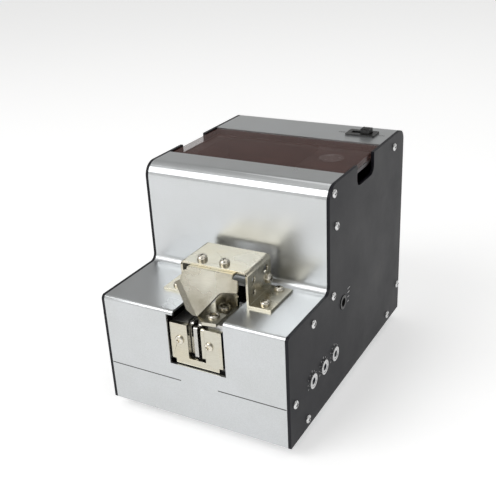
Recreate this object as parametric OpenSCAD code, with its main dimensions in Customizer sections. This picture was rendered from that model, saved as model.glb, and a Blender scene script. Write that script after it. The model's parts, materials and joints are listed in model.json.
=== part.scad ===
// Automatic screw feeder for the bench.
// Loose screws lie in a hopper. A cam lifts a scoop blade that carries some of
// them up to a slotted vibrating rail, a brush sweeps off those that lie wrong,
// and the rail brings the rest one by one to a pick-up point at the nose, under
// a bent-sheet guide that leads the screwdriver bit.
// +Z is up, the nose points to -Y, and the origin lies on the table under the
// middle of the body. Every size is in millimetres.

/* [Body] */
// Width over both side panels
body_w = 124; // [116:1:150]
// Depth from the nose to the back
body_d = 181; // [170:1:220]
// Height of the covers above the table
body_h = 145; // [135:1:180]
// Height of the nose above the table
nose_h = 80; // [76:1:96]
// Depth of the nose in front of the hopper
nose_d = 55.5; // [52:0.5:66]
// Thickness of the side panels
panel_t = 2; // [1.5:0.5:3]
// Thickness of the cover sheets
cover_t = 1.5; // [1:0.25:2]
// Width of the cover flanges behind the side panels
cover_flange_w = 14; // [12:0.5:17]
// Rounding of the hopper's top front edge
top_edge_r = 9; // [6:0.5:12]
// Rounding of the top rear edge
rear_edge_r = 8; // [5:0.5:12]
// Bend of the nose's front edge
nose_edge_r = 2.5; // [2:0.5:4]
// Inner rounding where the hopper rises from the nose
inner_edge_r = 4.5; // [3:0.5:7]
// Thickness of the base plate
base_t = 2; // [1.5:0.5:3]
// Height of the base plate's side flanges
base_flange_h = 12; // [10:0.5:16]
// Height of the rubber feet
foot_h = 8; // [6:0.5:12]
// Diameter of the rubber feet
foot_d = 16; // [12:0.5:20]

/* [Hopper] */
// Length of the top strip in front of the lid
front_strip = 25.6; // [22:0.2:32]
// Length of the lid opening
lid_l = 58.8; // [56:0.2:72]
// Thickness of the lid
lid_t = 3; // [2:0.5:4]
// How far the lid lies below the covers
lid_drop = 0.7; // [0:0.1:1.5]
// Width of the finger notches beside the lid
notch_w = 28; // [20:1:36]
// Depth of the finger notches
notch_h = 13.5; // [10:0.5:16]
// Wall of the hopper bin
bin_wall = 1.5; // [1.2:0.1:2]
// Inner reach of the bin to the left of the middle
bin_left = 50; // [40:1:51]
// Inner reach of the bin to the right of the middle
bin_right = 22; // [20:1:26]

/* [Rail] */
// Width of the slot that the screws hang in
slot_w = 3; // [2:0.1:3.6]
// Thickness of each rail plate
rail_t = 2.6; // [2:0.1:2.8]
// How much the rail climbs from the nose to the hopper
rail_rise = 4.3; // [3:0.1:6]

/* [Scoop and brush] */
// Diameter of the cam shaft
cam_shaft_d = 5; // [4:0.5:5]
// Diameter of the cam follower
roller_d = 7; // [6:0.5:7.5]
// Length of the scoop blade
blade_l = 34; // [28:1:34]
// Diameter of the scoop's guide rods
rod_d = 4; // [3:0.5:4.5]
// Reach of the brush from its shaft
brush_r = 18; // [16:0.5:19]

/* [Pick-up head] */
// Width of the opening in the nose's front
mouth_w = 37.8; // [36:0.2:44]
// Height of the bridge over the nose
bridge_h = 22; // [18:0.5:27]
// Length of the bridge along the rail
bridge_l = 28; // [24:0.5:30]
// Sheet thickness of the bridge and the guide
bracket_t = 1.5; // [1:0.25:2]
// Thickness of the hold-down plate
hold_t = 2; // [1.5:0.25:2.5]

/* [Controls] */
// Distance between the trimmers
trimmer_pitch = 16; // [14:0.5:18]
// Outer diameter of the trimmer bushings
bushing_d = 7; // [6:0.5:8]
// Travel of the power switch
switch_travel = 6; // [4:0.5:7]

/* [Hidden] */
$fn = 48;

// Clearances, each for one kind of fit
run_gap = 0.05;
slide_gap = 0.3;
hole_gap = 0.25;
lid_gap = 0.4;
past = 1;

// Body faces
front_y = -body_d / 2;
rear_y = body_d / 2;
panel_x = body_w / 2;
cover_x = panel_x - panel_t;
hopper_y = front_y + nose_d;
base_top = foot_h + base_t;
lid_front = hopper_y + front_strip;
lid_rear = lid_front + lid_l;
lid_mid = (lid_front + lid_rear) / 2;
foot_inset = [20, 22];

// Lid, deck and bin
lid_rim = 1;
lid_top = body_h - lid_drop;
deck_top = lid_top - lid_t - lid_rim;
deck_t = 1.5;
bin_top = deck_top - deck_t;
bin_rim_t = 1.5;
bin_front = lid_front + 2.4;
bin_rear = lid_rear - 2.4;
knob_at = [37, lid_mid + 6];
knob_d = 16;
knob_screw_d = 4;

// Screws: head diameter, head height, shank diameter
panel_screw = [5.2, 1.4, 3];
head_screw = [6.2, 2.2, 3];
flat_screw = [7.2, 1.8, 3];
foot_screw_d = 4;
panel_screw_l = 6;

// Rail and pick-up head
rail_x = -1;
plate_gap = 1;
rail_left_x = rail_x - slot_w / 2 - rail_t;
rail_right_x = rail_x + slot_w / 2 + rail_t;
pick_y = front_y + 6.5;
vibration = 0.4;
plate_y0 = front_y + cover_t;
plate_t = 3;
rail_front = plate_y0 + plate_t + vibration + hole_gap;
rail_nose = front_y + 2.5;
rail_rear = bin_rear - 3;
hold_top = nose_h - 4;
rail_front_z = hold_top - hold_t - 2.8;
rail_rear_z = rail_front_z + rail_rise;
rail_low_z = rail_front_z - 9;
rail_deep_z = rail_front_z - 19.3;
bridge_x0 = -17.5;
bridge_x1 = 27;
bridge_foot = 14;
bridge_y0 = front_y + 21.5;
bridge_y1 = bridge_y0 + bridge_l;
bridge_top = nose_h + bridge_h;

// Mouth in the front cover, and the plate that stands in it
mouth_x0 = -15.9;
mouth_x1 = mouth_x0 + mouth_w;
mouth_z0 = nose_h - 35.3;
cut_x0 = -11.5;
plate_x0 = mouth_x0 + 0.9;
plate_x1 = mouth_x1 - 2.4;
plate_z0 = mouth_z0 + 0.8;
plate_z1 = nose_h - 8;
support_y0 = plate_y0 + plate_t;
support_l = 34;
support_slot_z = rail_deep_z - 1.9;
escaper_x = 5.3;
escaper_t = 2.2;
escaper_travel = 1.8;
plunger_d = 3;

// Lift: the base plate, the full cam, the follower, the carriage and its travel
// stack up to the bin's floor, and the blade then has to reach the rail.
roller_r = roller_d / 2;
follow_r = 8;
floor_gap = 1;
carriage_t = 4;
cam_floor_gap = 1.5;
roller_top_gap = 0.5;
blade_proud = 1;
blade_over = 0.5;
lift_stack = base_top + cam_floor_gap + 2 * follow_r + roller_top_gap + carriage_t + floor_gap + bin_wall;
lift = (rail_rear_z + blade_over - blade_proud - lift_stack) / 3;
cam_max_r = follow_r - roller_r + lift;
cam_y = lid_mid;
cam_z = base_top + cam_floor_gap + cam_max_r;
roller_z = cam_z + follow_r;
carriage_z = roller_z + roller_r + roller_top_gap;
floor_z = carriage_z + carriage_t + lift + floor_gap + bin_wall;
blade_x1 = rail_left_x - slide_gap;
blade_w = 6.2;
blade_x0 = blade_x1 - blade_w;
blade_x = (blade_x0 + blade_x1) / 2;
cam_t = 6;
rod_offset = cam_max_r + rod_d / 2 + 1.5;
cheek_t = 2.2;
cheek_gap = 0.2;
pin_d = 3;

// Brush drive: a rack on the carriage turns a pinion on the brush shaft
gear_m = 0.8;
pinion_teeth = 18;
pinion_r = gear_m * pinion_teeth / 2;
pressure = 20;
backlash = 0.1;
rack_w = 4;
rack_y0 = bin_front - bin_wall - rack_w - 1;
brush_z = rail_front_z + 4.6 + brush_r;
brush_shaft_d = 4;
rack_x = rail_x - pinion_r;
brush_swing = lift / pinion_r * 180 / PI;

// Controls on the right-hand panel
trimmer_y = front_y + 61.2;
trimmer_z = foot_h + 28.2;
trimmer_shaft_d = 4;
board_x = cover_x - 9.6;
board_t = 1.6;
jack_at = [front_y + 75.2, foot_h + 56.7];
jack_d = 9;
switch_at = [41, rear_y - 22.8];
switch_size = [20, 11.6];
switch_flange_t = 1;
trimmer_angle = 270;

// ---- Shared shapes ----

// Points on an arc about a centre, from one angle to another
function arc(c, r, a0, a1, n = 8) =
    [for (i = [0:n]) c + r * [cos(a0 + (a1 - a0) * i / n), sin(a0 + (a1 - a0) * i / n)]];

// A corner of the side outline: the rounding shrinks as the outline moves in
function corner(edge, dir, r, inset, a0, a1) =
    arc(edge + dir * max(r, inset), max(r - inset, 0.01), a0, a1);

// The side view of the body, moved in by an inset, with its lower edge at z = low
function side_outline(inset = 0, low = foot_h) = concat(
    [[front_y + inset, low]],
    corner([front_y, nose_h], [1, -1], nose_edge_r, inset, 180, 90),
    arc([hopper_y - inner_edge_r, nose_h + inner_edge_r], inner_edge_r + inset, -90, 0),
    corner([hopper_y, body_h], [1, -1], top_edge_r, inset, 180, 90),
    corner([rear_y, body_h], [-1, -1], rear_edge_r, inset, 90, 0),
    [[rear_y - inset, low]]
);

// An outline in (y, z) drawn out along X
module along_x(x0, x1) {
    translate([x0, 0, 0])
        rotate([90, 0, 90])
            linear_extrude(x1 - x0)
                children();
}

// An outline in (x, z) drawn out along Y
module along_y(y0, y1) {
    translate([0, y1, 0])
        rotate([90, 0, 0])
            linear_extrude(y1 - y0)
                children();
}

// An outline in (x, y) drawn out along Z
module along_z(z0, z1) {
    translate([0, 0, z0])
        linear_extrude(z1 - z0)
            children();
}

// A box between two corners
module block(low, high) {
    translate(low)
        cube(high - low);
}

// Round bars along each axis, from a start point
module bar_x(at, length, d) {
    translate(at)
        rotate([0, 90, 0])
            cylinder(h = length, d = d);
}

module bar_y(at, length, d) {
    translate(at)
        rotate([-90, 0, 0])
            cylinder(h = length, d = d);
}

module bar_z(at, length, d) {
    translate(at)
        cylinder(h = length, d = d);
}

// A flat rectangle with round corners, from its lower left corner
module round_rect(size, r) {
    translate([r, 0])
        square([size.x - 2 * r, size.y]);
    translate([0, r])
        square([size.x, size.y - 2 * r]);
    for (x = [r, size.x - r], y = [r, size.y - r])
        translate([x, y])
            circle(r);
}

// A cross-recess screw that stands head up, with its seat at z = 0
module cross_screw(kind, length) {
    head_r = kind[0] / 2;
    head_h = kind[1];
    crown = head_h * 0.65;
    difference() {
        union() {
            rotate_extrude()
                polygon(concat(
                    [[0, 0], [head_r, 0], [head_r, head_h - crown]],
                    [for (a = [20:20:80]) [head_r * (0.35 + 0.65 * cos(a)), head_h - crown + crown * sin(a)]],
                    [[0, head_h]]
                ));
            translate([0, 0, -length])
                cylinder(h = length + 0.1, d = kind[2]);
        }
        for (turn = [0, 90])
            rotate(turn)
                translate([-head_r * 0.55, -0.4, head_h * 0.35])
                    cube([head_r * 1.1, 0.8, head_h]);
    }
}

// ---- Casing ----

// Where the panel screws sit, in (y, z), the same on both sides
panel_screw_at = [
    [hopper_y + 5.7, body_h - 4.9],
    [hopper_y + 9.2, body_h - 25.8],
    [hopper_y + 4, nose_h - 3.5],
    [front_y + 31.3, nose_h - 7.3],
    [front_y + 6.3, foot_h + 26.6],
    [front_y + 22, foot_h + 6.2],
    [rear_y - 24.8, foot_h + 6.2],
    [rear_y - 4.9, foot_h + 21.3],
    [rear_y - 19.8, body_h - 7.7]
];

module panel_screw_holes(d) {
    for (at = panel_screw_at)
        bar_x([-panel_x - past, at.x, at.y], 2 * (panel_x + past), d);
}

module base_plate() {
    flange_y0 = front_y + cover_flange_w + 1;
    flange_y1 = rear_y - cover_flange_w - 1;
    color([0.55, 0.56, 0.57])
    difference() {
        union() {
            block([-cover_x, front_y + cover_t, foot_h], [cover_x, rear_y - cover_t, base_top]);
            for (x = [-cover_x, cover_x - base_t])
                block([x, flange_y0, foot_h], [x + base_t, flange_y1, foot_h + base_flange_h]);
        }
        panel_screw_holes(panel_screw[2] + 2 * hole_gap);
        feet_places()
            bar_z([0, 0, foot_h - past], base_t + 2 * past, foot_screw_d + 2 * hole_gap);
    }
}

module side_panel(x0) {
    difference() {
        along_x(x0, x0 + panel_t)
            polygon(side_outline());
        along_x(x0 - past, x0 + panel_t + past)
            translate([lid_mid - notch_w / 2, body_h - notch_h])
                round_rect([notch_w, notch_h * 2], 5);
        panel_screw_holes(panel_screw[2] + 2 * hole_gap);
    }
}

module left_side_panel() {
    color([0.13, 0.13, 0.15])
    side_panel(-panel_x);
}

module right_side_panel() {
    color([0.13, 0.13, 0.15])
    difference() {
        side_panel(cover_x);
        trimmer_places()
            bar_x([cover_x - past, 0, 0], panel_t + 2 * past, bushing_d + 2 * hole_gap);
        bar_x([cover_x - past, jack_at.x, jack_at.y], panel_t + 2 * past, jack_d + 2 * hole_gap);
    }
}

// A bent sheet that follows the side outline, between two y values
module bent_sheet(y0, y1) {
    along_x(-cover_x, cover_x)
        sheet_profile(y0, y1, cover_t);
    for (x = [-cover_x, cover_x - cover_t])
        along_x(x, x + cover_t)
            intersection() {
                sheet_profile(y0, y1, cover_flange_w);
                translate([y0, base_top])
                    square([y1 - y0, body_h]);
            }
}

module sheet_profile(y0, y1, width) {
    intersection() {
        difference() {
            polygon(side_outline());
            polygon(side_outline(width, foot_h - past));
        }
        translate([y0, foot_h])
            square([y1 - y0, body_h]);
    }
}

module front_cover() {
    lip_h = 8;
    color([0.78, 0.79, 0.8])
    difference() {
        union() {
            bent_sheet(front_y, lid_front);
            block([-cover_x, lid_front - cover_t, body_h - lip_h], [cover_x, lid_front, body_h]);
        }
        block([mouth_x0, front_y - past, mouth_z0], [mouth_x1, front_y + cover_t + past, nose_h - nose_edge_r]);
        block([cut_x0, front_y - past, nose_h - 6], [mouth_x1, bridge_y1 - 3, nose_h + past]);
        bridge_screw_places()
            bar_z([0, 0, nose_h - cover_t - past], cover_t + 2 * past, head_screw[2] + 2 * run_gap);
        panel_screw_holes(panel_screw[2] + 2 * run_gap);
    }
}

module rear_cover() {
    lip_h = 8;
    color([0.74, 0.76, 0.74])
    difference() {
        union() {
            bent_sheet(lid_rear, rear_y);
            block([-cover_x, lid_rear, body_h - lip_h], [cover_x, lid_rear + cover_t, body_h]);
        }
        translate([switch_at.x, switch_at.y, body_h - cover_t / 2])
            cube([switch_size.x - 3, switch_size.y - 3, cover_t + past], center = true);
        panel_screw_holes(panel_screw[2] + 2 * run_gap);
    }
}

module feet_places() {
    for (x = [-1, 1], y = [-1, 1])
        translate([x * (panel_x - foot_inset.x), y * (rear_y - foot_inset.y), 0])
            children();
}

module rubber_feet() {
    color([0.1, 0.1, 0.1])
    feet_places()
        difference() {
            cylinder(h = foot_h, d1 = foot_d - 2, d2 = foot_d);
            bar_z([0, 0, -past], foot_h / 2 + past, foot_screw_d + 4);
            bar_z([0, 0, 0], foot_h + past, foot_screw_d + 2 * run_gap);
        }
}

module foot_screws() {
    color([0.7, 0.7, 0.7])
    feet_places()
        union() {
            bar_z([0, 0, foot_h / 2 - 2], 2, foot_screw_d + 3);
            bar_z([0, 0, foot_h / 2 - 0.1], foot_h / 2 + base_t + 1.5, foot_screw_d);
            translate([0, 0, base_top])
                cylinder(h = 1.5, d = foot_screw_d + 3.5, $fn = 6);
        }
}

module panel_screws() {
    color([0.8, 0.8, 0.8])
    for (side = [-1, 1], at = panel_screw_at)
        translate([side * panel_x, at.x, at.y])
            rotate([0, side * 90, 0])
                cross_screw(panel_screw, panel_screw_l);
}

// ---- Hopper ----

// The bin's cross-section in (x, z), grown outwards by w. The left floor slopes
// down to the scoop, a step carries the rail, and the right slope leads back.
function bin_section(w) = [
    [-bin_left - w, bin_top],
    [-bin_left - w, floor_z + 12.5 - w],
    [blade_x0 - slide_gap - w / 2, floor_z - w],
    [rail_left_x - w / 2 + 0.05, floor_z - w],
    [rail_right_x + slide_gap + w, floor_z - w],
    [rail_right_x + slide_gap + w, rail_front_z - w],
    [bin_right + w, rail_front_z + 9 - w],
    [bin_right + w, bin_top]
];

module bin_post_places() {
    for (x = [-35, 14], y = [-20, 20])
        translate([x, cam_y + y, 0])
            children();
}

post_top = floor_z - bin_wall;
boss_l = rail_front_z - floor_z + 2.3;

module hopper_bin() {
    color([0.2, 0.2, 0.22])
    difference() {
        union() {
            along_y(bin_front - bin_wall, bin_rear + bin_wall)
                polygon(bin_section(bin_wall));
            block([-cover_x + 1, lid_front + 1, bin_top - bin_rim_t], [cover_x - 1, lid_rear - 1, bin_top]);
            bin_post_places()
                bar_z([0, 0, post_top], boss_l, 9);
            bar_z([knob_at.x, knob_at.y, bin_top - 6], 6, 9);
        }
        along_y(bin_front, bin_rear)
            polygon(concat(
                [[-bin_left, bin_top + past]],
                [for (i = [1:6]) bin_section(0)[i]],
                [[bin_right, bin_top + past]]
            ));
        block(
            [blade_x0 - slide_gap, cam_y - blade_l / 2 - slide_gap, floor_z - bin_wall - past],
            [blade_x1 + slide_gap, cam_y + blade_l / 2 + slide_gap, floor_z + past]
        );
        block(
            [rail_left_x - slide_gap, bin_front - bin_wall - past, rail_low_z - slide_gap],
            [rail_right_x + slide_gap, bin_front + past, rail_rear_z + 4]
        );
        bar_y([rail_x, bin_front - bin_wall - past, brush_z], bin_wall + 2 * past, brush_shaft_d + 2 * run_gap);
        bar_z([knob_at.x, knob_at.y, bin_top - 10], 12, knob_screw_d + 2 * run_gap);
        rod_places()
            bar_z([0, 0, floor_z - bin_wall - past], 2, 0.01 + rod_d);
    }
}

module bin_posts() {
    color([0.7, 0.7, 0.68])
    bin_post_places()
        bar_z([0, 0, base_top], post_top - base_top, 7);
}

module hopper_deck() {
    color([0.12, 0.11, 0.11])
    difference() {
        along_z(deck_top - deck_t, deck_top)
            translate([-cover_x + lid_gap, lid_front + lid_gap])
                square([2 * (cover_x - lid_gap), lid_l - 2 * lid_gap]);
        along_z(deck_top - deck_t - past, deck_top + past)
            translate([-bin_left, bin_front])
                round_rect([bin_left + bin_right, bin_rear - bin_front], 6);
        bar_z([knob_at.x, knob_at.y, deck_top - deck_t - past], deck_t + 2 * past, knob_screw_d + 2 * hole_gap);
    }
}

module deck_knob() {
    dish = 0.75;
    color([0.75, 0.76, 0.78])
    translate([knob_at.x, knob_at.y, deck_top])
        union() {
            rotate_extrude()
                polygon([
                    [0, 0], [knob_d / 2 - 0.3, 0], [knob_d / 2, 0.2], [knob_d / 2, dish - 0.1],
                    [knob_d / 2 - 0.4, dish], [knob_d / 2 - 2, dish], [knob_d / 2 - 3, 0.4], [0, 0.4]
                ]);
            bar_z([0, 0, -deck_t - 5], deck_t + 5.1, knob_screw_d);
        }
}

module hopper_lid() {
    size = [2 * (cover_x - lid_gap), lid_l - 2 * lid_gap];
    rim_w = 2.5;
    color([0.35, 0.2, 0.17, 0.6])
    translate([-size.x / 2, lid_front + lid_gap, 0])
        difference() {
            along_z(deck_top, lid_top)
                square(size);
            along_z(deck_top - past, deck_top + lid_rim)
                translate([rim_w, rim_w])
                    square([size.x - 2 * rim_w, size.y - 2 * rim_w]);
        }
}

module switch_body() {
    well = [switch_travel + 8, 4.4];
    color([0.06, 0.06, 0.06])
    translate([switch_at.x, switch_at.y, 0])
        difference() {
            union() {
                along_z(body_h, body_h + switch_flange_t)
                    translate([-switch_size.x / 2, -switch_size.y / 2])
                        round_rect(switch_size, 1);
                block(
                    [-switch_size.x / 2 + 2, -switch_size.y / 2 + 2, body_h - 12],
                    [switch_size.x / 2 - 2, switch_size.y / 2 - 2, body_h + 0.5]
                );
            }
            block([-well.x / 2, -well.y / 2, body_h - 5], [well.x / 2, well.y / 2, body_h + 5]);
        }
}

module switch_knob() {
    grip = [6.4, 6.4, 2.6];
    top = body_h + switch_flange_t;
    color([0.05, 0.05, 0.05])
    translate([switch_at.x + switch_travel / 2, switch_at.y, 0])
        union() {
            block([-grip.x / 2, -grip.y / 2, top], [grip.x / 2, grip.y / 2, top + grip.z]);
            for (i = [-2:2])
                block([i * 1.35 - 0.35, -grip.y / 2, top + grip.z - 0.1], [i * 1.35 + 0.35, grip.y / 2, top + grip.z + 0.6]);
            block([-2.5, -1.9, body_h - 4.5], [2.5, 1.9, top + 0.1]);
        }
}

// ---- Pick-up head ----

module bridge_screw_places() {
    for (x = [bridge_x0 - bridge_foot / 2, bridge_x1 + bridge_foot / 2], y = [bridge_y0 + 6, bridge_y1 - 4])
        translate([x, y, 0])
            children();
}

guide_screw_x = [-6, 9];
guide_screw_y = bridge_y0 + 6;

module bridge_bracket() {
    color([0.72, 0.68, 0.58])
    difference() {
        union() {
            along_y(bridge_y0, bridge_y1)
                difference() {
                    union() {
                        translate([bridge_x0, nose_h])
                            round_rect([bridge_x1 - bridge_x0, bridge_h], 2.5);
                        translate([bridge_x0 - bridge_foot, nose_h])
                            square([bridge_x1 - bridge_x0 + 2 * bridge_foot, bracket_t]);
                        translate([bridge_x0, nose_h])
                            square([bridge_x1 - bridge_x0, 4]);
                    }
                    translate([bridge_x0 + bracket_t, nose_h - past])
                        square([bridge_x1 - bridge_x0 - 2 * bracket_t, 6]);
                    translate([bridge_x0 + bracket_t, nose_h])
                        round_rect([bridge_x1 - bridge_x0 - 2 * bracket_t, bridge_h - bracket_t], 1);
                }
        }
        bridge_screw_places()
            bar_z([0, 0, nose_h - past], bracket_t + 2 * past, head_screw[2] + 2 * hole_gap);
        for (x = guide_screw_x)
            bar_z([x, guide_screw_y, bridge_top - 5], 10, head_screw[2] + 2 * hole_gap);
        bridge_wall_cuts();
    }
}

// Adjusting slot and holes in the bridge's right-hand wall
module bridge_wall_cuts() {
    bar_x([bridge_x1 - 4, bridge_y0 + 7, nose_h + 14.9], 6, 4);
    bar_x([bridge_x1 - 4, bridge_y0 + 7, nose_h + 6.9], 6, 4);
    along_x(bridge_x1 - 4, bridge_x1 + past)
        translate([bridge_y1 - 9.5, nose_h + 13.4])
            round_rect([6, 4], 1.95);
    bar_x([bridge_x1 - 4, bridge_y1 - 4, nose_h + 8], 6, head_screw[2] + 2 * run_gap);
}

module bridge_screws() {
    color([0.8, 0.78, 0.72])
    union() {
        bridge_screw_places()
            translate([0, 0, nose_h + bracket_t])
                cross_screw(head_screw, 5);
        translate([bridge_x1, bridge_y1 - 4, nose_h + 8])
            rotate([0, 90, 0])
                cross_screw(head_screw, 4);
    }
}

module guide_screws() {
    color([0.8, 0.78, 0.72])
    for (x = guide_screw_x)
        translate([x, guide_screw_y, bridge_top])
            cross_screw([6.2, 3, 3], 2 * bracket_t + 1.5);
}

// The guide's face leans forward from the bridge to the pick-up point. Its
// outline is given in (x, distance down the face), and its left edge is folded
// forward along a straight line from one root point to the other.
guide_top = [bridge_y0 - 3, bridge_top - bracket_t];
guide_tip = [pick_y, hold_top + 0.6];
guide_drop = norm(guide_tip - guide_top);
guide_lean = atan2(guide_top.x - guide_tip.x, guide_top.y - guide_tip.y);
wing_root = [-14.2, 8.1];
wing_run = [-0.2, guide_drop - 1.6] - wing_root;
wing_l = norm(wing_run);
wing_turn = atan2(wing_run.y, wing_run.x);
wing_fold = 55;
wing_w = 4.4;

// A point beside the fold line: distance along it, distance out from it
function wing_point(along, out) =
    wing_root + along * wing_run / wing_l + out * [-wing_run.y, wing_run.x] / wing_l;

guide_outline = concat(
    [[-11, -past], [-11, 1.8], [-13.6, 2.6], wing_root],
    [wing_point(0.5, 2), wing_point(wing_l - 3.5, 2.5), wing_point(wing_l + 0.8, 1.2)],
    [[1.2, guide_drop], [2.4, guide_drop - 1.4], [13, 11.4], [15.2, 10.4]],
    [[23.6, 9.2], [22.7, 2.4], [19.2, 2.2], [19.2, -past]]
);

// Stands an outline in (x, distance down the face) up at the guide's lean
module on_guide() {
    translate([0, guide_top.x, guide_top.y])
        rotate([-90 - guide_lean, 0, 0])
            children();
}

// Cross-section of the folded sheet, across the fold line
module fold_section() {
    edge = wing_w * [cos(wing_fold), -sin(wing_fold)];
    polygon(concat(
        [[-50, bracket_t], [-50, 0], [0, 0], edge],
        [edge + bracket_t * [sin(wing_fold), cos(wing_fold)]],
        arc([0, 0], bracket_t, 90 - wing_fold, 90, 6)
    ));
}

module bit_guide() {
    flange_y1 = guide_screw_y + 5;
    under = bridge_top - bracket_t;
    color([0.74, 0.71, 0.63])
    difference() {
        union() {
            on_guide()
                intersection() {
                    translate([0, 0, -2 * wing_w])
                        linear_extrude(4 * wing_w)
                            polygon(guide_outline);
                    translate(wing_root)
                        rotate(wing_turn)
                            along_x(-40, 60)
                                fold_section();
                    block([-50, 0, -20], [50, 40, 20]);
                }
            along_x(-10.6, 18.8)
                polygon([
                    [flange_y1, under], [flange_y1, under - bracket_t], [guide_top.x + 0.6, under - bracket_t],
                    [guide_top.x + 0.1, under - 0.9], [guide_top.x + 0.1, under - 0.2], [guide_top.x + 0.7, under]
                ]);
        }
        for (x = guide_screw_x)
            bar_z([x, guide_screw_y, under - bracket_t - past], bracket_t + 2 * past, head_screw[2] + 2 * run_gap);
    }
}

hold_x0 = rail_x + 1.7;
hold_x1 = 16;
hold_y1 = front_y + 29.5;
hold_screw_x = 9.6;
hold_screw_y = [front_y + 11, front_y + 23];

module hold_down_plate() {
    color([0.76, 0.73, 0.66])
    difference() {
        union() {
            along_z(hold_top - hold_t, hold_top)
                polygon([
                    [hold_x0, front_y + 7.2], [6.5, front_y + 2.7], [hold_x1 - 1, front_y + 4.1],
                    [hold_x1, hold_y1], [hold_x0, hold_y1]
                ]);
            along_y(hold_y1 - hold_t, hold_y1)
                polygon([
                    [hold_x0, hold_top - hold_t], [hold_x1, hold_top - hold_t], [hold_x1, hold_top + 5],
                    [hold_x1 - 3, hold_top + 8], [hold_x0, hold_top + 8]
                ]);
        }
        for (y = hold_screw_y)
            bar_z([hold_screw_x, y, hold_top - hold_t - past], hold_t + 2 * past, flat_screw[2] + 2 * hole_gap);
    }
}

module hold_down_screws() {
    color([0.8, 0.78, 0.7])
    for (y = hold_screw_y)
        translate([hold_screw_x, y, hold_top])
            cross_screw(flat_screw, hold_t + 6);
}

// Slot in the front plate and the support, wide enough for rail and escaper
head_slot_x0 = rail_left_x - plate_gap / 2;
head_slot_x1 = escaper_x + escaper_t + 0.7;
plate_slot_x0 = rail_x - 2.3;
plate_screw_at = [[plate_x0 + 6.2, plate_z0 + 16], [plate_x1 - 8.5, plate_z0 + 16]];

module front_plate() {
    nick = 2.6;
    color([0.74, 0.72, 0.66])
    difference() {
        along_y(plate_y0, plate_y0 + plate_t)
            polygon([
                [plate_x0 + nick, plate_z0], [plate_x1 - nick, plate_z0], [plate_x1 - nick, plate_z0 + nick],
                [plate_x1, plate_z0 + nick], [plate_x1, plate_z1], [plate_x0, plate_z1],
                [plate_x0, plate_z0 + nick], [plate_x0 + nick, plate_z0 + nick]
            ]);
        block(
            [plate_slot_x0, plate_y0 - past, support_slot_z],
            [head_slot_x1, plate_y0 + plate_t + past, plate_z1 + past]
        );
        for (at = plate_screw_at)
            bar_y([at.x, plate_y0 - past, at.y], plate_t + 2 * past, head_screw[2] + 2 * hole_gap);
    }
}

module front_plate_screws() {
    color([0.8, 0.78, 0.72])
    for (at = plate_screw_at)
        translate([at.x, plate_y0, at.y])
            rotate([90, 0, 0])
                cross_screw([5.6, 1.4, 3], plate_t + 6);
}

module rail_support() {
    seat_z = hold_top - hold_t;
    color([0.6, 0.6, 0.6])
    difference() {
        union() {
            block([plate_x0, support_y0, base_top], [plate_x1, support_y0 + support_l, plate_z1]);
            block([head_slot_x1, support_y0 + 2, base_top], [plate_x1 - 1, support_y0 + 24, seat_z]);
        }
        block(
            [head_slot_x0, support_y0 - past, support_slot_z],
            [head_slot_x1, support_y0 + support_l + past, seat_z + past]
        );
        block(
            [plate_x0 + 6, support_y0 + 8, base_top - past],
            [plate_x1 - 6, support_y0 + support_l + past, support_slot_z - 8]
        );
        for (at = plate_screw_at)
            bar_y([at.x, support_y0 - past, at.y], 8, head_screw[2] + 2 * run_gap);
        for (y = hold_screw_y)
            bar_z([hold_screw_x, y, seat_z - 8], 10, flat_screw[2] + 2 * run_gap);
        bar_x([head_slot_x1 - past, plunger_y, plunger_z], plate_x1 - head_slot_x1 + 2 * past, plunger_d + 2 * run_gap);
    }
}

// ---- Vibrating rail ----

rail_base_y = [hopper_y - 9, hopper_y + 19];
rail_base_h = 8;
spring_t = 0.8;
spring_w = 6;
rail_amplitude = 0.4;

// Side view of a rail plate: a deep nose, a long thin tail and a sloping top
// with a seat for one screw behind the hooked front end
module rail_outline(front) {
    difference() {
        polygon(concat(
            [[front, rail_deep_z]],
            arc([front + 1.5, rail_front_z - 1.5], 1.5, 180, 90),
            [[rail_rear, rail_rear_z], [rail_rear, rail_low_z]],
            [[rail_base_y[0] - 4, rail_low_z], [rail_base_y[0] - 11, rail_deep_z]]
        ));
        translate([pick_y, rail_front_z + 0.4])
            circle(r = 1.9);
    }
}

module rail_left() {
    color([0.72, 0.72, 0.7])
    along_x(rail_left_x, rail_left_x + rail_t)
        rail_outline(rail_front);
}

module rail_right() {
    color([0.72, 0.72, 0.7])
    difference() {
        along_x(rail_right_x - rail_t, rail_right_x)
            rail_outline(rail_nose);
        block(
            [rail_right_x - rail_t - past, finger_y0 - 0.8, finger_z0 - 0.4],
            [rail_right_x + past, finger_y0 + finger_w + 0.8, finger_z0 + finger_h + 0.4]
        );
    }
}

module rail_spacer() {
    slot_depth = 8;
    color([0.5, 0.5, 0.5])
    along_x(rail_left_x + rail_t, rail_right_x - rail_t)
        polygon([
            [rail_front, rail_deep_z], [rail_front, rail_front_z - slot_depth],
            [rail_base_y[0] - 11, rail_front_z - slot_depth], [rail_base_y[0] - 11, rail_deep_z]
        ]);
}

module rail_base() {
    color([0.5, 0.52, 0.5])
    block(
        [rail_left_x, rail_base_y[0], rail_low_z - rail_base_h],
        [rail_right_x, rail_base_y[1], rail_low_z]
    );
}

clamp_h = 16;

module leaf_springs() {
    color([0.4, 0.42, 0.5])
    for (y = [rail_base_y[0] - spring_t, rail_base_y[1]])
        block(
            [rail_x - spring_w / 2, y, base_top + 5],
            [rail_x + spring_w / 2, y + spring_t, rail_low_z - 1]
        );
}

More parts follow.
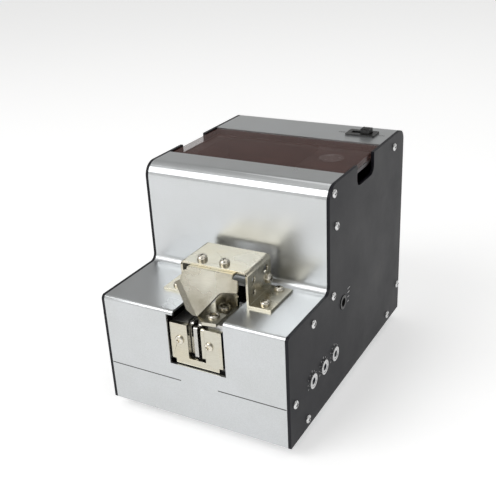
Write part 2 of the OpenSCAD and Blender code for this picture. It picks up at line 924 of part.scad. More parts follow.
module spring_clamps() {
    wide = spring_w + 4;
    color([0.5, 0.5, 0.5])
    for (y = [rail_base_y[0] - spring_t / 2, rail_base_y[1] + spring_t / 2])
        difference() {
            block([rail_x - wide / 2, y - 3.5, base_top], [rail_x + wide / 2, y + 3.5, base_top + clamp_h]);
            block(
                [rail_x - spring_w / 2 - slide_gap, y - spring_t / 2 - rail_amplitude - slide_gap, base_top + 4],
                [rail_x + spring_w / 2 + slide_gap, y + spring_t / 2 + rail_amplitude + slide_gap, base_top + 99]
            );
        }
}

armature_y = rail_base_y[1] - 9;

module armature_plate() {
    color([0.45, 0.45, 0.47])
    block(
        [rail_x - 6, armature_y, rail_low_z - rail_base_h - 14],
        [rail_x + 6, armature_y + 2, rail_low_z - rail_base_h]
    );
}

module vibration_coil() {
    coil_z = rail_low_z - rail_base_h - 10;
    coil_l = 11;
    face_y = armature_y - 1.5;
    color([0.6, 0.35, 0.2])
    union() {
        bar_y([rail_x, face_y - coil_l, coil_z], coil_l - 1.5, 16);
        bar_y([rail_x, face_y - coil_l - 1, coil_z], coil_l + 1, 6);
        block([rail_x - 8, face_y - coil_l - 3, base_top], [rail_x + 8, face_y - coil_l, coil_z + 8]);
    }
}

// ---- Escaper ----

plunger_y = front_y + 23.5;
plunger_z = rail_front_z - 9;
finger_y0 = pick_y + 6.3;
finger_w = 1.6;
finger_z0 = rail_front_z - 4.2;
finger_h = 1.6;

module escaper_plate() {
    color([0.78, 0.7, 0.66])
    union() {
        along_x(escaper_x, escaper_x + escaper_t)
            polygon(concat(
                [[rail_nose, rail_deep_z]],
                arc([rail_nose + 2, rail_front_z - 2], 2, 180, 60),
                [[rail_nose + 5, rail_front_z - 2.6], [plunger_y + 4, rail_front_z - 2.6]],
                [[plunger_y + 4, rail_deep_z]]
            ));
        block(
            [rail_x + slot_w / 2 + 0.2, finger_y0, finger_z0],
            [escaper_x + 0.1, finger_y0 + finger_w, finger_z0 + finger_h]
        );
    }
}

solenoid_l = 16;

module escaper_plunger() {
    color([0.7, 0.7, 0.72])
    bar_x([escaper_x + escaper_t, plunger_y, plunger_z], plate_x1 - escaper_x - escaper_t + 8, plunger_d);
}

module escaper_solenoid() {
    color([0.25, 0.3, 0.5])
    difference() {
        block([plate_x1, plunger_y - 7, plunger_z - 7], [plate_x1 + solenoid_l, plunger_y + 7, plunger_z + 7]);
        bar_x([plate_x1 - past, plunger_y, plunger_z], 12 + past, plunger_d + 2 * run_gap);
    }
}

module pickup_sensor() {
    color([0.1, 0.1, 0.12])
    block([plate_x0 - 5, support_y0 + 2, rail_front_z - 10], [plate_x0, support_y0 + 10, rail_front_z - 2]);
}

// ---- Lift ----

module rod_places() {
    for (side = [-1, 1])
        translate([blade_x, cam_y + side * rod_offset, 0])
            children();
}

// Heart cam: the follower's centre moves out by an equal step for each degree,
// so its path is r = follow_r + lift * angle / 180. The cam's edge lies one
// roller radius inside that path.
function path_r(a) = follow_r + lift * a / 180;
function cam_point(a) =
    let(
        r = path_r(a),
        slope = lift / PI,
        out = [sin(a), cos(a)],
        side = [cos(a), -sin(a)],
        normal = (r * out - slope * side) / norm([r, slope])
    )
    r * out - (roller_r + run_gap) * normal;

module half_cam() {
    seat_angle = atan2(lift / PI, follow_r);
    intersection() {
        polygon(concat(
            arc([0, follow_r], roller_r + run_gap, -90, -90 + seat_angle, 6),
            [for (a = [6:6:180]) cam_point(a)]
        ));
        translate([0, -2 * cam_max_r])
            square([2 * cam_max_r, 4 * cam_max_r]);
    }
}

module lift_cam() {
    color([0.85, 0.85, 0.8])
    difference() {
        translate([0, cam_y, cam_z])
            along_x(blade_x - cam_t / 2, blade_x + cam_t / 2)
                union() {
                    half_cam();
                    mirror([1, 0])
                        half_cam();
                }
        bar_x([blade_x - cam_t, cam_y, cam_z], 2 * cam_t, cam_shaft_d);
    }
}

bracket_w = 2;
bracket_x = blade_x + cam_t / 2 + cheek_gap + cheek_t + 0.6;
shaft_x0 = blade_x - 13;
shaft_x1 = bracket_x + bracket_w + 4;

module cam_shaft() {
    color([0.75, 0.75, 0.76])
    bar_x([shaft_x0, cam_y, cam_z], shaft_x1 - shaft_x0, cam_shaft_d);
}

module cam_bearing() {
    thick = 4;
    color([0.6, 0.6, 0.58])
    difference() {
        union() {
            block([shaft_x0, cam_y - 8, base_top], [shaft_x0 + thick, cam_y + 8, cam_z]);
            bar_x([shaft_x0, cam_y, cam_z], thick, 16);
            block([shaft_x0 - 8, cam_y - 8, base_top], [shaft_x0 + 0.1, cam_y + 8, base_top + 3]);
        }
        bar_x([shaft_x0 - past, cam_y, cam_z], thick + 2 * past, cam_shaft_d + 2 * run_gap);
    }
}

gearbox_d = 26;

module motor_bracket() {
    color([0.6, 0.6, 0.58])
    difference() {
        union() {
            block([bracket_x, cam_y - 13, base_top], [bracket_x + bracket_w, cam_y + 13, cam_z + 10]);
            block([bracket_x, cam_y - 13, base_top], [bracket_x + 14, cam_y + 13, base_top + 2]);
        }
        bar_x([bracket_x - past, cam_y, cam_z], bracket_w + 2 * past, cam_shaft_d + 2 * hole_gap);
    }
}

module gear_motor() {
    box_x = bracket_x + bracket_w;
    color([0.45, 0.45, 0.48])
    difference() {
        union() {
            bar_x([box_x, cam_y, cam_z], 18, gearbox_d);
            bar_x([box_x + 17.9, cam_y, cam_z], 26, gearbox_d - 5);
            bar_x([box_x + 43.8, cam_y, cam_z], 2, 8);
        }
        bar_x([box_x - past, cam_y, cam_z], 5 + past, cam_shaft_d + 2 * run_gap);
    }
}

module roller_pin() {
    reach = cam_t / 2 + cheek_gap + cheek_t;
    color([0.75, 0.75, 0.76])
    bar_x([blade_x - reach, cam_y, roller_z], 2 * reach, pin_d);
}

module follower_roller() {
    color([0.8, 0.78, 0.7])
    difference() {
        bar_x([blade_x - cam_t / 2, cam_y, roller_z], cam_t, roller_d);
        bar_x([blade_x - cam_t, cam_y, roller_z], 2 * cam_t, pin_d + 2 * run_gap);
    }
}

module scoop_carriage() {
    reach = cam_t / 2 + cheek_gap;
    boss_l = rod_offset + rod_d / 2 + 2.5;
    color([0.68, 0.68, 0.66])
    difference() {
        union() {
            block(
                [blade_x - reach - cheek_t, cam_y - boss_l, carriage_z],
                [blade_x + reach + cheek_t, cam_y + boss_l, carriage_z + carriage_t]
            );
            for (x = [blade_x - reach - cheek_t, blade_x + reach])
                block([x, cam_y - 5, roller_z - 2.8], [x + cheek_t, cam_y + 5, carriage_z + 0.1]);
            block(
                [rack_x - 4.5, rack_y0, carriage_z],
                [rack_x - 0.9, cam_y - boss_l + 0.1, carriage_z + carriage_t]
            );
        }
        rod_places()
            bar_z([0, 0, carriage_z - past], carriage_t + 2 * past, rod_d + 2 * run_gap);
        bar_x([blade_x - reach - cheek_t - past, cam_y, roller_z], 2 * (reach + cheek_t + past), pin_d);
    }
}

module guide_rods() {
    color([0.75, 0.75, 0.76])
    rod_places()
        bar_z([0, 0, base_top], floor_z - bin_wall - base_top, rod_d);
}

module scoop_blade() {
    rise = 4;
    low = floor_z + blade_proud;
    color([0.8, 0.8, 0.78])
    along_y(cam_y - blade_l / 2, cam_y + blade_l / 2)
        polygon([
            [blade_x0, carriage_z + carriage_t], [blade_x1, carriage_z + carriage_t], [blade_x1, low],
            [blade_x0, low + rise]
        ]);
}

// ---- Brush ----

// Involute tooth flank: half the tooth's angle at a radius
function involute(a) = tan(a) * 180 / PI - a;
base_r = pinion_r * cos(pressure);
function tooth_half(r) =
    90 / pinion_teeth - backlash / 2 / pinion_r * 180 / PI + involute(pressure) - involute(acos(base_r / r));
function polar(r, a) = [r * cos(a), r * sin(a)];

module pinion_outline() {
    tip_r = pinion_r + gear_m;
    root_r = pinion_r - 1.25 * gear_m;
    steps = 4;
    radii = [for (i = [0:steps]) base_r + (tip_r - base_r) * i / steps];
    pitch = 360 / pinion_teeth;
    polygon([
        for (t = [0:pinion_teeth - 1])
            each concat(
                [polar(root_r, t * pitch - tooth_half(base_r))],
                [for (r = radii) polar(r, t * pitch - tooth_half(r))],
                [for (i = [steps:-1:0]) polar(radii[i], t * pitch + tooth_half(radii[i]))],
                [polar(root_r, t * pitch + tooth_half(base_r))]
            )
    ]);
}

module brush_pinion() {
    color([0.85, 0.85, 0.82])
    difference() {
        translate([rail_x, 0, brush_z])
            along_y(rack_y0, rack_y0 + rack_w)
                pinion_outline();
        bar_y([rail_x, rack_y0 - past, brush_z], rack_w + 2 * past, brush_shaft_d);
    }
}

// Rack: straight-sided teeth on the carriage's upright, in step with the pinion
module brush_rack() {
    pitch = PI * gear_m;
    half = pitch / 4 - backlash / 2;
    slope = tan(pressure);
    above = 4;
    below = ceil((lift + 4) / pitch);
    top = brush_z + above;
    color([0.85, 0.85, 0.82])
    along_y(rack_y0, rack_y0 + rack_w)
        union() {
            polygon([
                [rack_x - 4.5, carriage_z + carriage_t], [rack_x - 1.25 * gear_m, carriage_z + carriage_t],
                [rack_x - 1.25 * gear_m, top], [rack_x - 4.5, top]
            ]);
            for (k = [-below:0])
                translate([rack_x, brush_z + (k + 0.5) * pitch])
                    polygon([
                        [-1.25 * gear_m - 0.05, -half - slope * 1.25 * gear_m],
                        [gear_m * 0.95, -half + slope * gear_m * 0.95],
                        [gear_m * 0.95, half - slope * gear_m * 0.95],
                        [-1.25 * gear_m - 0.05, half + slope * 1.25 * gear_m]
                    ]);
        }
}

brush_y = bin_front + 6;

module brush_shaft() {
    color([0.75, 0.75, 0.76])
    bar_y([rail_x, rack_y0 - 1, brush_z], brush_y + 4 - rack_y0, brush_shaft_d);
}

// Turns its children to the brush's rest position, half a swing to the right
module at_brush_rest() {
    translate([rail_x, 0, brush_z])
        rotate([0, -brush_swing / 2, 0])
            children();
}

brush_foot = 6;

module brush_arm() {
    color([0.2, 0.2, 0.22])
    difference() {
        at_brush_rest()
            union() {
                bar_y([0, brush_y - 3, 0], 6, 9);
                block([-2, brush_y - 3, -brush_r + brush_foot], [2, brush_y + 3, 0]);
                block([-2.5, brush_y - 4.5, -brush_r + brush_foot], [2.5, brush_y + 4.5, -brush_r + brush_foot + 3]);
            }
        bar_y([rail_x, brush_y - 5, brush_z], 10, brush_shaft_d);
    }
}

module brush_bristles() {
    color([0.85, 0.8, 0.6])
    at_brush_rest()
        for (i = [-2:2], j = [-1:1])
            translate([j * 1.6, brush_y + i * 1.8, -brush_r])
                cylinder(h = brush_foot, d = 1.3, $fn = 16);
}

// ---- Electrics ----

module trimmer_places() {
    for (i = [0:2])
        translate([0, trimmer_y - i * trimmer_pitch, trimmer_z])
            children();
}

module circuit_board() {
    color([0.1, 0.35, 0.2])
    block(
        [board_x - board_t, trimmer_y - 2 * trimmer_pitch - 10, foot_h + 14],
        [board_x, jack_at.x + 10, nose_h - 12]
    );
}

module trimmer_bodies() {
    color([0.2, 0.3, 0.55])
    trimmer_places()
        difference() {
            union() {
                block([board_x, -6, -6], [cover_x, 6, 6]);
                bar_x([cover_x - 0.1, 0, 0], panel_t + 1.1, bushing_d);
            }
            bar_x([board_x + 3, 0, 0], 20, trimmer_shaft_d + 2 * run_gap);
        }
}

module trimmer_nuts() {
    color([0.8, 0.8, 0.8])
    trimmer_places()
        difference() {
            bar_x([panel_x, 0, 0], 1.2, bushing_d + 2.2);
            bar_x([panel_x - past, 0, 0], 4, bushing_d);
        }
}

module trimmer_shaft(place) {
    tip_x = panel_x + 0.6;
    color([0.15, 0.15, 0.15])
    translate([0, trimmer_y - place * trimmer_pitch, trimmer_z])
        difference() {
            bar_x([board_x + 3, 0, 0], tip_x - board_x - 3, trimmer_shaft_d);
            block([tip_x - 0.8, -trimmer_shaft_d, -0.4], [tip_x + past, trimmer_shaft_d, 0.4]);
        }
}

module trimmer_shaft_rear() {
    trimmer_shaft(0);
}

module trimmer_shaft_middle() {
    trimmer_shaft(1);
}

module trimmer_shaft_front() {
    trimmer_shaft(2);
}

module dc_jack() {
    plug_d = 5.6;
    color([0.08, 0.08, 0.08])
    translate([0, jack_at.x, jack_at.y])
        union() {
            difference() {
                union() {
                    block([board_x, -6, -6], [cover_x, 6, 6]);
                    bar_x([cover_x - 0.1, 0, 0], panel_t + 0.5, jack_d);
                }
                bar_x([board_x + 2, 0, 0], 20, plug_d);
            }
            bar_x([board_x + 1.9, 0, 0], 8, 2);
        }
}

base_plate();
left_side_panel();
right_side_panel();
front_cover();
rear_cover();
rubber_feet();
foot_screws();
panel_screws();
hopper_bin();
bin_posts();
hopper_deck();
deck_knob();
hopper_lid();
switch_body();
switch_knob();
bridge_bracket();
bridge_screws();
bit_guide();
guide_screws();
hold_down_plate();
hold_down_screws();
front_plate();
front_plate_screws();
rail_support();
rail_left();
rail_right();
rail_spacer();
rail_base();
leaf_springs();
spring_clamps();
armature_plate();
vibration_coil();
escaper_plate();
escaper_plunger();
escaper_solenoid();
pickup_sensor();
lift_cam();
cam_shaft();
cam_bearing();
gear_motor();
motor_bracket();
scoop_blade();
scoop_carriage();
guide_rods();
follower_roller();
roller_pin();
brush_rack();
brush_shaft();
brush_pinion();
brush_arm();
brush_bristles();
circuit_board();
trimmer_bodies();
trimmer_nuts();
trimmer_shaft_front();
trimmer_shaft_middle();
trimmer_shaft_rear();
dc_jack();
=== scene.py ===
"""Looks of the automatic screw feeder: materials, printed marks, camera, lights and floor."""

import json
import math

import bmesh
import bpy
from mathutils import Matrix, Vector


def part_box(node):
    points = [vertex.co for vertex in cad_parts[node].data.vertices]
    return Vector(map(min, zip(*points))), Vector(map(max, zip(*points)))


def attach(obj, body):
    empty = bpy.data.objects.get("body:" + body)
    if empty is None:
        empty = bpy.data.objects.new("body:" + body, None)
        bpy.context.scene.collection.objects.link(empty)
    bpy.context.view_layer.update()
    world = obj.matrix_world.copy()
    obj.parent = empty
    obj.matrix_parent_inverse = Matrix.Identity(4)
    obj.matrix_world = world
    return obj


MM = 0.001

# Sockets of a colour mix node
MIX_FACTOR, MIX_A, MIX_B, MIX_RESULT = 0, 6, 7, 2

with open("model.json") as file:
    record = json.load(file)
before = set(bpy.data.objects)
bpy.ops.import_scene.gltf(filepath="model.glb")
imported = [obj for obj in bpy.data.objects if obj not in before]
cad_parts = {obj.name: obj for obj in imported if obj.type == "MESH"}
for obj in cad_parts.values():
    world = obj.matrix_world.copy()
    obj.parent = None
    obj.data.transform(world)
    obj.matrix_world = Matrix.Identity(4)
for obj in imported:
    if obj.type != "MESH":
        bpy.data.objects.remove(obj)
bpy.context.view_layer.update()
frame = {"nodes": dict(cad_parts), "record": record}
nodes = frame["nodes"]


# ---- Material helpers ----

class Shader:
    """A new node material with short ways to add and join its nodes."""

    def __init__(self, name):
        self.mat = bpy.data.materials.new(name)
        self.mat.use_nodes = True
        self.tree = self.mat.node_tree
        self.bsdf = self.tree.nodes["Principled BSDF"]
        self.coords = self.tree.nodes.new("ShaderNodeTexCoord").outputs["Object"]

    def set(self, **values):
        for key, value in values.items():
            self.bsdf.inputs[key.replace("_", " ")].default_value = value
        return self

    def add(self, kind, inputs=None, **settings):
        node = self.tree.nodes.new(kind)
        for key, value in settings.items():
            setattr(node, key, value)
        for key, value in (inputs or {}).items():
            if isinstance(value, bpy.types.NodeSocket):
                self.tree.links.new(value, node.inputs[key])
            else:
                node.inputs[key].default_value = value
        return node

    def stretched(self, scale):
        """Object coordinates, scaled for a grain that runs one way."""
        return self.add("ShaderNodeMapping", {"Vector": self.coords, "Scale": scale}).outputs[0]

    def noise(self, scale, detail, roughness, vector=None):
        inputs = {
            "Vector": vector or self.coords,
            "Scale": scale,
            "Detail": detail,
            "Roughness": roughness,
        }
        return self.add("ShaderNodeTexNoise", inputs).outputs["Fac"]

    def ramp(self, fac, stops):
        node = self.add("ShaderNodeValToRGB", {"Fac": fac})
        elements = node.color_ramp.elements
        while len(elements) < len(stops):
            elements.new(0.5)
        for element, (place, colour) in zip(elements, stops):
            element.position = place
            element.color = (*colour, 1)
        return node.outputs["Color"]

    def remap(self, value, low, high, to_low, to_high):
        inputs = {
            "Value": value,
            "From Min": low,
            "From Max": high,
            "To Min": to_low,
            "To Max": to_high,
        }
        return self.add("ShaderNodeMapRange", inputs).outputs["Result"]

    def multiply(self, a, b):
        """The product of two colours."""
        node = self.add("ShaderNodeMix", data_type="RGBA", blend_type="MULTIPLY")
        node.inputs[MIX_FACTOR].default_value = 1.0
        self.tree.links.new(a, node.inputs[MIX_A])
        self.tree.links.new(b, node.inputs[MIX_B])
        return node.outputs[MIX_RESULT]

    def colour(self, socket):
        self.tree.links.new(socket, self.bsdf.inputs["Base Color"])
        return self

    def rough(self, socket):
        self.tree.links.new(socket, self.bsdf.inputs["Roughness"])
        return self

    def bump(self, height, distance, strength):
        inputs = {"Height": height, "Distance": distance, "Strength": strength}
        node = self.add("ShaderNodeBump", inputs)
        self.tree.links.new(node.outputs["Normal"], self.bsdf.inputs["Normal"])
        return self


def shade(colour, factor):
    return tuple(min(1.0, channel * factor) for channel in colour)


def blasted_metal(name, colour, metallic=0.95, rough=(0.27, 0.34)):
    """Bead-blasted, anodised sheet: a fine speckle with slow smudges over it."""
    s = Shader(name).set(Metallic=metallic)
    speckle = s.noise(2600, 2, 0.7)
    smudge = s.noise(28, 3, 0.6)
    grains = s.ramp(speckle, [(0.3, shade(colour, 0.9)), (0.5, colour), (0.72, shade(colour, 1.09))])
    clouds = s.ramp(smudge, [(0.35, (0.95, 0.95, 0.94)), (0.65, (1, 1, 1))])
    s.colour(s.multiply(grains, clouds))
    s.rough(s.remap(smudge, 0.3, 0.7, *rough))
    return s.bump(s.noise(3200, 2, 0.6), 0.00002, 0.6).mat


def powder_coat(name, colour):
    """Black satin coat with orange peel and a faint, uneven dust."""
    s = Shader(name).set(Metallic=0.0, Specular_IOR_Level=0.2)
    dust = s.noise(16, 4, 0.65)
    s.colour(s.ramp(dust, [(0.35, colour), (0.75, shade(colour, 1.5))]))
    s.rough(s.remap(dust, 0.3, 0.7, 0.38, 0.5))
    return s.bump(s.noise(900, 2, 0.5), 0.00003, 0.5).mat


def plated_sheet(name, colour):
    """Nickel-plated sheet: faint rolling lines, warm cloudy patches and small stains."""
    s = Shader(name).set(Metallic=1.0)
    lines = s.noise(160, 3, 0.6, s.stretched((1, 12, 12)))
    patches = s.noise(55, 2, 0.5)
    red, green, blue = colour
    warm = (red, green * 0.96, blue * 0.88)
    tint = s.ramp(patches, [(0.3, warm), (0.6, colour), (0.8, shade(colour, 1.05))])
    streak = s.ramp(lines, [(0.35, (0.92, 0.915, 0.9)), (0.6, (1, 1, 1))])
    s.colour(s.multiply(tint, streak))
    s.rough(s.remap(patches, 0.3, 0.75, 0.2, 0.34))
    return s.bump(lines, 0.00002, 0.3).mat


def turned_metal(name, colour, rough=(0.16, 0.3)):
    """Bright machined or plated metal with fine scratches."""
    s = Shader(name).set(Metallic=1.0)
    marks = s.noise(900, 3, 0.6)
    s.colour(s.ramp(marks, [(0.3, shade(colour, 0.82)), (0.7, shade(colour, 1.1))]))
    s.rough(s.remap(marks, 0.3, 0.7, *rough))
    return s.bump(marks, 0.00002, 0.4).mat


def moulded(name, colour, rough=(0.32, 0.45), peel=1400, depth=0.00002):
    """Moulded plastic: a fine spark-eroded texture and slight colour drift."""
    s = Shader(name).set(Metallic=0.0)
    drift = s.noise(60, 2, 0.5)
    s.colour(s.ramp(drift, [(0.3, shade(colour, 0.85)), (0.7, shade(colour, 1.15))]))
    s.rough(s.remap(drift, 0.3, 0.7, *rough))
    return s.bump(s.noise(peel, 2, 0.5), depth, 0.6).mat


def smoked_acrylic(name):
    """Brown see-through sheet with faint wiping marks; what lies below shows through its alpha."""
    s = Shader(name).set(Metallic=0.0, IOR=1.45, Roughness=0.06, Alpha=0.45)
    wipe = s.noise(60, 4, 0.6, s.stretched((1, 3, 1)))
    s.colour(s.ramp(wipe, [(0.35, (0.085, 0.03, 0.022)), (0.7, (0.13, 0.05, 0.038))]))
    s.rough(s.remap(wipe, 0.35, 0.75, 0.05, 0.12))
    s.mat.surface_render_method = "BLENDED"
    return s.bump(wipe, 0.00002, 0.15).mat


SILVER = (0.6, 0.615, 0.625)
NICKEL = (0.6, 0.58, 0.5)
MATERIALS = {
    "cover_silver": lambda n: blasted_metal(n, SILVER),
    "panel_black": lambda n: powder_coat(n, (0.006, 0.006, 0.009)),
    "nickel_sheet": lambda n: plated_sheet(n, NICKEL),
    "screw_nickel": lambda n: turned_metal(n, (0.7, 0.66, 0.57)),
    "screw_steel": lambda n: turned_metal(n, (0.72, 0.72, 0.72)),
    "steel_zinc": lambda n: blasted_metal(n, (0.5, 0.51, 0.52), 1.0, (0.3, 0.45)),
    "rubber_black": lambda n: moulded(n, (0.02, 0.02, 0.02), (0.75, 0.9), 900, 0.00006),
    "plastic_dark": lambda n: moulded(n, (0.03, 0.022, 0.02)),
    "lid_smoked": smoked_acrylic,
    "switch_black": lambda n: moulded(n, (0.012, 0.012, 0.012), (0.25, 0.38)),
    "aluminium_block": lambda n: turned_metal(n, (0.6, 0.6, 0.6), (0.3, 0.45)),
    "rail_steel": lambda n: turned_metal(n, (0.55, 0.54, 0.51), (0.2, 0.35)),
    "spring_steel": lambda n: turned_metal(n, (0.25, 0.27, 0.34), (0.25, 0.35)),
    "iron_dark": lambda n: turned_metal(n, (0.2, 0.2, 0.21), (0.45, 0.6)),
    "copper_coil": lambda n: turned_metal(n, (0.5, 0.22, 0.1), (0.25, 0.4)),
    "plastic_blue": lambda n: moulded(n, (0.01, 0.02, 0.06), (0.25, 0.35)),
    "plastic_white": lambda n: moulded(n, (0.75, 0.74, 0.68)),
    "motor_can": lambda n: turned_metal(n, (0.5, 0.5, 0.52), (0.25, 0.4)),
    "brass_bush": lambda n: turned_metal(n, (0.7, 0.5, 0.22), (0.2, 0.35)),
    "bristle": lambda n: moulded(n, (0.65, 0.55, 0.35), (0.5, 0.65)),
    "board_green": lambda n: moulded(n, (0.01, 0.12, 0.06), (0.2, 0.3)),
}


# Points closer than this are joined before rounding, in millimetres
WELD_DISTANCE = 0.01
# Edges that turn by more than this are rounded, in degrees
SHARP_ANGLE = 35
# Rounding of the edges that catch the light, in millimetres
EDGE_ROUNDING = {
    "left_side_panel": 0.25,
    "right_side_panel": 0.25,
    "front_cover": 0.2,
    "rear_cover": 0.2,
    "hopper_lid": 0.3,
    "hopper_deck": 0.2,
    "bridge_bracket": 0.2,
    "bit_guide": 0.15,
    "hold_down_plate": 0.2,
    "front_plate": 0.25,
    "rail_left": 0.12,
    "rail_right": 0.12,
    "rail_support": 0.3,
    "switch_body": 0.2,
    "switch_knob": 0.15,
    "rubber_feet": 0.5,
}


def soften(obj, width):
    """Rounds an object's sharp edges by a width in millimetres."""
    weld = obj.modifiers.new("weld", "WELD")
    weld.merge_threshold = WELD_DISTANCE * MM
    bevel = obj.modifiers.new("soft_edges", "BEVEL")
    bevel.width = width * MM
    bevel.segments = 2
    bevel.limit_method = "ANGLE"
    bevel.angle_limit = math.radians(SHARP_ANGLE)
    bevel.harden_normals = True


def dress_frame():
    """Gives every CAD node its slot's material, and the large ones softened edges."""
    made = {slot: build(slot + "_finish") for slot, build in MATERIALS.items()}
    for part in frame["record"]["subparts"]:
        obj = nodes[part["node"]]
        for slot in obj.material_slots:
            slot.material = made[part["material_slot"]]
        if not obj.material_slots:
            obj.data.materials.append(made[part["material_slot"]])
        if part["node"] in EDGE_ROUNDING:
            soften(obj, EDGE_ROUNDING[part["node"]])
    plate_bushings(nodes["trimmer_bodies"], made["screw_steel"])


def plate_bushings(obj, metal):
    """The trimmers' threaded bushings, which pass through the panel, are metal on a blue body."""
    obj.data.materials.append(metal)
    index = len(obj.data.materials) - 1
    inner_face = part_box("right_side_panel")[0].x
    for face in obj.data.polygons:
        if face.center.x > inner_face:
            face.material_index = index


# ---- Printed marks, in millimetres ----

INK_DEPTH = 0.03
INK_ROOT = 0.01

LINE_HEIGHT = 34.0
LINE_HALF_WIDTH = 0.3
LINE_INSET = 0.3
NAME_GAP = (-9.6, 15.7)

DIAL_RADIUS = 5.4
SHORT_TICK_END = 6.2
LONG_TICK_END = 6.9
TICK_WIDTH = 0.35
TICK_STEP = 30
TICKS_EACH_WAY = 4

DASH_OFFSET = 7
DASH_PITCH = 3
DASH_LENGTH = 3
DASH_TAPER = 0.6
DASH_HALF_WIDTH = 0.25
OVERLINE_LENGTH = 4
OVERLINE_HEIGHT = (5.4, 5.8)

WORD_SIZE = 2.6
OFF_DISTANCE = 4.2
ON_DISTANCE = 3.4


def printed(name, mesh, material):
    """A mark printed on the casing; it stays with the casing."""
    obj = bpy.data.objects.new(name, mesh)
    bpy.context.scene.collection.objects.link(obj)
    mesh.materials.append(material)
    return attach(obj, "feeder")


def prism_mesh(name, outlines, low, high, place):
    """Closed prisms over flat outlines. place turns (u, v, depth) in millimetres into a point."""
    mesh = bpy.data.meshes.new(name)
    body = bmesh.new()
    for outline in outlines:
        bottom = [body.verts.new(place(u, v, low) * MM) for u, v in outline]
        top = [body.verts.new(place(u, v, high) * MM) for u, v in outline]
        count = len(outline)
        body.faces.new(bottom[::-1])
        body.faces.new(top)
        for i in range(count):
            j = (i + 1) % count
            body.faces.new((bottom[i], bottom[j], top[j], top[i]))
    bmesh.ops.recalc_face_normals(body, faces=body.faces)
    body.to_mesh(mesh)
    body.free()
    return mesh


def bar(u0, v0, u1, v1):
    return [(u0, v0), (u1, v0), (u1, v1), (u0, v1)]


def tick(centre, angle, r0, r1, width):
    """A radial dash of a dial, its angle counted clockwise from the top."""
    along = (math.sin(angle), math.cos(angle))
    across = (along[1] * width / 2, -along[0] * width / 2)
    corners = [(r0, -1), (r1, -1), (r1, 1), (r0, 1)]
    return [tuple(centre[i] + r * along[i] + k * across[i] for i in range(2)) for r, k in corners]


def middle(node):
    low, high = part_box(node)
    return (low + high) / 2 / MM


def print_front_line(ink):
    """The thin line across the nose, open where the model's name stands on the real one."""
    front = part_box("front_cover")[0].y / MM
    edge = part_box("right_side_panel")[0].x / MM - LINE_INSET
    low = LINE_HEIGHT - LINE_HALF_WIDTH
    high = LINE_HEIGHT + LINE_HALF_WIDTH
    outlines = [bar(-edge, low, NAME_GAP[0], high), bar(NAME_GAP[1], low, edge, high)]

    def on_front(u, v, depth):
        return Vector((u, front + depth, v))

    printed("front_line", prism_mesh("front_line", outlines, -INK_DEPTH, INK_ROOT, on_front), ink)


def print_panel_dials(ink):
    """Plain dial marks round each trimmer, and dashes beside the power inlet."""
    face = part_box("right_side_panel")[1].x / MM
    outlines = []
    for name in ("trimmer_shaft_front", "trimmer_shaft_middle", "trimmer_shaft_rear"):
        at = middle(name)
        for step in range(-TICKS_EACH_WAY, TICKS_EACH_WAY + 1):
            end = LONG_TICK_END if step in (-TICKS_EACH_WAY, 0, TICKS_EACH_WAY) else SHORT_TICK_END
            angle = math.radians(step * TICK_STEP)
            outlines.append(tick((at.y, at.z), angle, DIAL_RADIUS, end, TICK_WIDTH))
    jack = middle("dc_jack")
    start = jack.y + DASH_OFFSET
    for k in range(3):
        v = jack.z + DASH_PITCH * (1 - k)
        end = start + DASH_LENGTH - k * DASH_TAPER
        outlines.append(bar(start, v - DASH_HALF_WIDTH, end, v + DASH_HALF_WIDTH))
    low, high = (jack.z + height for height in OVERLINE_HEIGHT)
    outlines.append(bar(start, low, start + OVERLINE_LENGTH, high))

    def on_panel(u, v, depth):
        return Vector((face + depth, u, v))

    printed("dial_marks", prism_mesh("dial_marks", outlines, -INK_ROOT, INK_DEPTH, on_panel), ink)


def print_word(name, word, at, ink):
    """A short plain word lying on the top of the rear cover."""
    curve = bpy.data.curves.new(name, "FONT")
    curve.body = word
    curve.size = WORD_SIZE * MM
    curve.extrude = INK_DEPTH * MM
    curve.align_x = "CENTER"
    curve.align_y = "CENTER"
    source = bpy.data.objects.new(name + "_source", curve)
    mesh = bpy.data.meshes.new_from_object(source)
    bpy.data.objects.remove(source)
    bpy.data.curves.remove(curve)
    mesh.transform(Matrix.Translation(Vector(at) * MM))
    printed(name, mesh, ink)


def print_switch_words(ink):
    """The words for the two ends of the power switch's travel."""
    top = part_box("rear_cover")[1].z / MM
    low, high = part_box("switch_body")
    y = (low.y + high.y) / 2 / MM
    print_word("word_off", "OFF", (low.x / MM - OFF_DISTANCE, y, top), ink)
    print_word("word_on", "ON", (high.x / MM + ON_DISTANCE, y, top), ink)


def print_marks():
    black = moulded("ink_black", (0.012, 0.012, 0.013), (0.4, 0.5))
    white = moulded("ink_white", (0.7, 0.7, 0.7), (0.45, 0.55))
    print_front_line(black)
    print_panel_dials(white)
    print_switch_words(black)


# ---- Camera, lights and floor, in metres ----

FLOOR_HALF = 4.0
FLOOR_LIFT = 0.45

# The camera's lens in millimetres, its place, and the directions of its axes
LENS = 55.68
CAMERA_AT = Vector((0.221188, -0.402942, 0.293936))
RIGHT = Vector((0.875794, 0.480258, -0.048341))
UP = Vector((-0.163532, 0.389452, 0.906413))
AHEAD = Vector((-0.454139, 0.785926, -0.419617))


def place_camera():
    data = bpy.data.cameras.new("camera")
    data.lens = LENS
    data.sensor_width = 36
    camera = bpy.data.objects.new("camera", data)
    bpy.context.scene.collection.objects.link(camera)
    turn = Matrix((RIGHT, UP, -AHEAD)).transposed().to_4x4()
    camera.matrix_world = Matrix.Translation(CAMERA_AT) @ turn
    bpy.context.scene.camera = camera


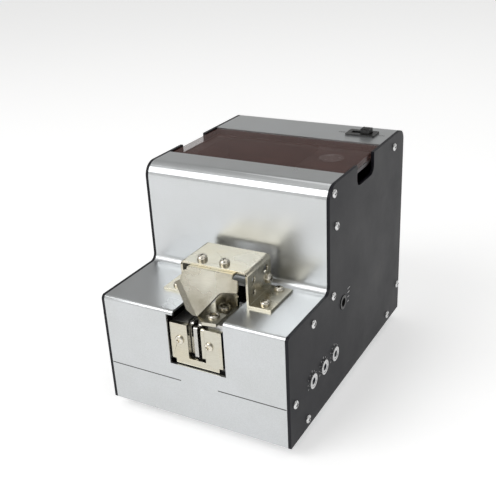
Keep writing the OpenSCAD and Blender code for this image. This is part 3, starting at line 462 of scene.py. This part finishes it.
def area_light(name, at, target, size, watts):
    data = bpy.data.lights.new(name, "AREA")
    data.shape = "RECTANGLE"
    data.size, data.size_y = size
    data.energy = watts
    lamp = bpy.data.objects.new(name, data)
    bpy.context.scene.collection.objects.link(lamp)
    lamp.location = at
    lamp.rotation_euler = (Vector(target) - Vector(at)).to_track_quat("-Z", "Y").to_euler()


def sees_background(tree):
    """1 for rays that show the background: from the camera, and mirrored or passed through."""
    path = tree.nodes.new("ShaderNodeLightPath")
    total = path.outputs["Is Camera Ray"]
    for name in ("Is Glossy Ray", "Is Transmission Ray"):
        add = tree.nodes.new("ShaderNodeMath")
        add.operation = "MAXIMUM"
        tree.links.new(total, add.inputs[0])
        tree.links.new(path.outputs[name], add.inputs[1])
        total = add.outputs[0]
    return total


def light_world():
    """White to the camera; to all else a studio that is dim at mid height and brighter on the left."""
    world = bpy.data.worlds.new("studio")
    world.use_nodes = True
    bpy.context.scene.world = world
    tree = world.node_tree
    background = tree.nodes["Background"]
    direction = tree.nodes.new("ShaderNodeTexCoord").outputs["Generated"]
    split = tree.nodes.new("ShaderNodeSeparateXYZ")
    tree.links.new(direction, split.inputs[0])
    ramp = tree.nodes.new("ShaderNodeValToRGB")
    stops = [(0.0, 0.85), (0.12, 0.7), (0.3, 0.32), (0.6, 0.3), (1.0, 0.6)]
    while len(ramp.color_ramp.elements) < len(stops):
        ramp.color_ramp.elements.new(0.5)
    for element, (place, level) in zip(ramp.color_ramp.elements, stops):
        element.position = place
        element.color = (level, level, level * 0.99, 1)
    tree.links.new(split.outputs["Z"], ramp.inputs["Fac"])
    side = tree.nodes.new("ShaderNodeMapRange")
    side.inputs["From Min"].default_value = -1.0
    side.inputs["To Min"].default_value = 1.25
    side.inputs["To Max"].default_value = 0.75
    tree.links.new(split.outputs["X"], side.inputs["Value"])
    studio = tree.nodes.new("ShaderNodeVectorMath")
    studio.operation = "SCALE"
    tree.links.new(ramp.outputs["Color"], studio.inputs[0])
    tree.links.new(side.outputs["Result"], studio.inputs["Scale"])
    seen = tree.nodes.new("ShaderNodeMix")
    seen.data_type = "RGBA"
    seen.inputs[MIX_B].default_value = (1, 1, 1, 1)
    camera_ray = tree.nodes.new("ShaderNodeLightPath").outputs["Is Camera Ray"]
    tree.links.new(camera_ray, seen.inputs[MIX_FACTOR])
    tree.links.new(studio.outputs[0], seen.inputs[MIX_A])
    tree.links.new(seen.outputs[MIX_RESULT], background.inputs["Color"])


def lay_floor():
    """White paper with a faint glow for rays that show it, which brings it nearer the white background."""
    corners = [(x * FLOOR_HALF, y * FLOOR_HALF, 0) for x, y in ((-1, -1), (1, -1), (1, 1), (-1, 1))]
    mesh = bpy.data.meshes.new("floor")
    mesh.from_pydata(corners, [], [(0, 1, 2, 3)])
    floor = bpy.data.objects.new("floor", mesh)
    bpy.context.scene.collection.objects.link(floor)
    s = Shader("floor_paper").set(Roughness=0.9, Specular_IOR_Level=0.1)
    paper = s.ramp(s.noise(300, 2, 0.5), [(0.3, (0.88, 0.88, 0.88)), (0.7, (0.9, 0.9, 0.9))])
    s.colour(paper)
    s.tree.links.new(paper, s.bsdf.inputs["Emission Color"])
    lift = s.add("ShaderNodeMath", {0: sees_background(s.tree), 1: FLOOR_LIFT}, operation="MULTIPLY")
    s.tree.links.new(lift.outputs[0], s.bsdf.inputs["Emission Strength"])
    mesh.materials.append(s.mat)


def set_stage():
    scene = bpy.context.scene
    scene.view_settings.view_transform = "Standard"
    place_camera()
    light_world()
    area_light("key", (-0.55, -0.95, 1.05), (0, 0, 0.06), (0.9, 0.9), 9)
    area_light("fill", (1.2, -0.6, 0.7), (0, 0, 0.06), (0.8, 0.8), 1.5)
    area_light("top", (0.1, 0.5, 1.3), (0, 0, 0.05), (1.2, 0.9), 2)
    lay_floor()


dress_frame()
print_marks()
set_stage()
